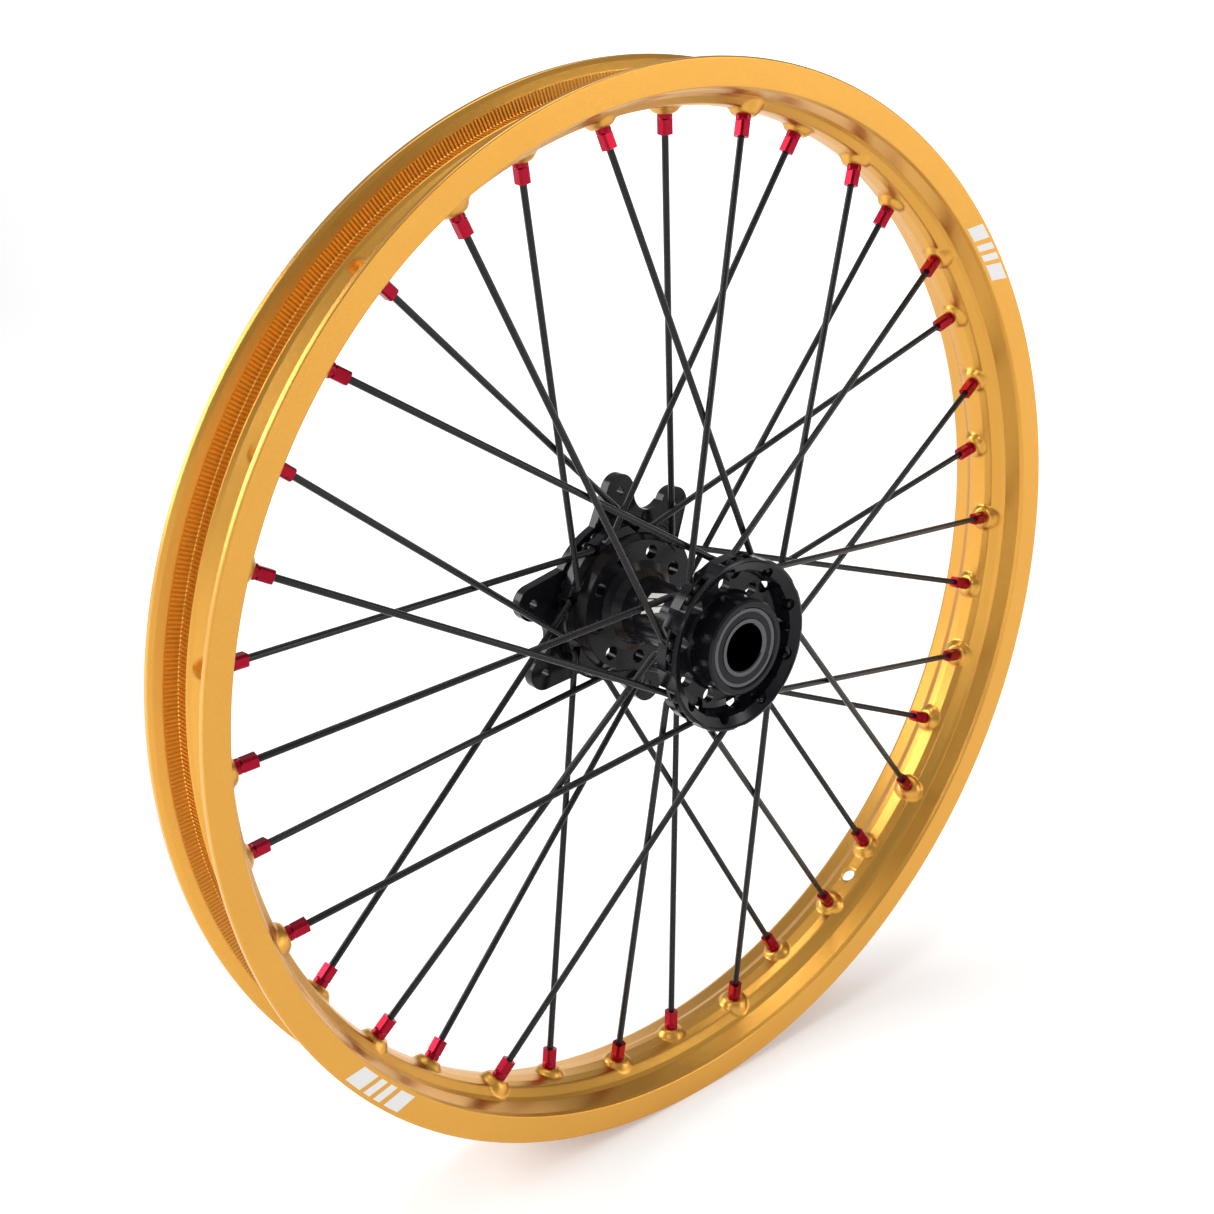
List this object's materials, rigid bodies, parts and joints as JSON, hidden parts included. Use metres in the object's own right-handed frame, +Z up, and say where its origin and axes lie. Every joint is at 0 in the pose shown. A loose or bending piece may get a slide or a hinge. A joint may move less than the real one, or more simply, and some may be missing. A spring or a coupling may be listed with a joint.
{
  "type": "spoked motorcycle wheel",
  "caption": "Front wheel of an off-road motorcycle: drop-centre rim laced with steel spokes to a hub with sealed bearings and a brake-disc carrier, without tyre.",
  "frame": {"origin": "the wheel's centre: on the axle's line, in the middle plane of the rim", "axes": "+Y along the axle to the left, the brake-disc side; +Z up; +X forward"},
  "size_m": [0.56, 0.106, 0.56],
  "materials": {
    "rim_gold_anodised": "satin gold anodised",
    "hub_black_anodised": "gloss black anodised",
    "spoke_black_steel": "black coated",
    "nipple_red_anodised": "red anodised",
    "bearing_steel": "ground",
    "cage_steel": "pressed",
    "seal_rubber": "moulded",
    "spacer_steel": "turned"
  },
  "bodies": {
    "axle_set": {"bearing_spacer": "spacer_steel", "right_bearing_inner_ring": "bearing_steel", "left_bearing_inner_ring": "bearing_steel"},
    "wheel": {"rim": "rim_gold_anodised", "hub": "hub_black_anodised", "right_inner_spoke_1": "spoke_black_steel", "right_inner_spoke_2": "spoke_black_steel", "right_inner_spoke_3": "spoke_black_steel", "right_inner_spoke_4": "spoke_black_steel", "right_inner_spoke_5": "spoke_black_steel", "right_inner_spoke_6": "spoke_black_steel", "right_inner_spoke_7": "spoke_black_steel", "right_inner_spoke_8": "spoke_black_steel", "right_inner_spoke_9": "spoke_black_steel", "left_outer_spoke_1": "spoke_black_steel", "left_outer_spoke_2": "spoke_black_steel", "left_outer_spoke_3": "spoke_black_steel", "left_outer_spoke_4": "spoke_black_steel", "left_outer_spoke_5": "spoke_black_steel", "left_outer_spoke_6": "spoke_black_steel", "left_outer_spoke_7": "spoke_black_steel", "left_outer_spoke_8": "spoke_black_steel", "left_outer_spoke_9": "spoke_black_steel", "right_outer_spoke_1": "spoke_black_steel", "right_outer_spoke_2": "spoke_black_steel", "right_outer_spoke_3": "spoke_black_steel", "right_outer_spoke_4": "spoke_black_steel", "right_outer_spoke_5": "spoke_black_steel", "right_outer_spoke_6": "spoke_black_steel", "right_outer_spoke_7": "spoke_black_steel", "right_outer_spoke_8": "spoke_black_steel", "right_outer_spoke_9": "spoke_black_steel", "left_inner_spoke_1": "spoke_black_steel", "left_inner_spoke_2": "spoke_black_steel", "left_inner_spoke_3": "spoke_black_steel", "left_inner_spoke_4": "spoke_black_steel", "left_inner_spoke_5": "spoke_black_steel", "left_inner_spoke_6": "spoke_black_steel", "left_inner_spoke_7": "spoke_black_steel", "left_inner_spoke_8": "spoke_black_steel", "left_inner_spoke_9": "spoke_black_steel", "right_inner_nipples": "nipple_red_anodised", "left_outer_nipples": "nipple_red_anodised", "right_outer_nipples": "nipple_red_anodised", "left_inner_nipples": "nipple_red_anodised", "right_bearing_outer_ring": "bearing_steel", "right_bearing_outer_seal": "seal_rubber", "right_bearing_inner_seal": "seal_rubber", "left_bearing_outer_ring": "bearing_steel", "left_bearing_outer_seal": "seal_rubber", "left_bearing_inner_seal": "seal_rubber"},
    "right_cage": {"right_bearing_cage": "cage_steel", "right_bearing_balls": "bearing_steel"},
    "left_cage": {"left_bearing_cage": "cage_steel", "left_bearing_balls": "bearing_steel"}
  },
  "joints": [
    {"name": "wheel_spin", "type": "hinge", "parent": "axle_set", "child": "wheel", "pos_m": [0, 0, 0], "axis": [0, 1, 0], "continuous": true},
    {"name": "right_cage_turn", "type": "hinge", "parent": "axle_set", "child": "right_cage", "pos_m": [0, 0, 0], "axis": [0, 1, 0], "continuous": true},
    {"name": "left_cage_turn", "type": "hinge", "parent": "axle_set", "child": "left_cage", "pos_m": [0, 0, 0], "axis": [0, 1, 0], "continuous": true}
  ],
  "couplings": [
    {"joint": "right_cage_turn", "follows": "wheel_spin", "ratio": 0.57313},
    {"joint": "left_cage_turn", "follows": "wheel_spin", "ratio": 0.57313}
  ]
}
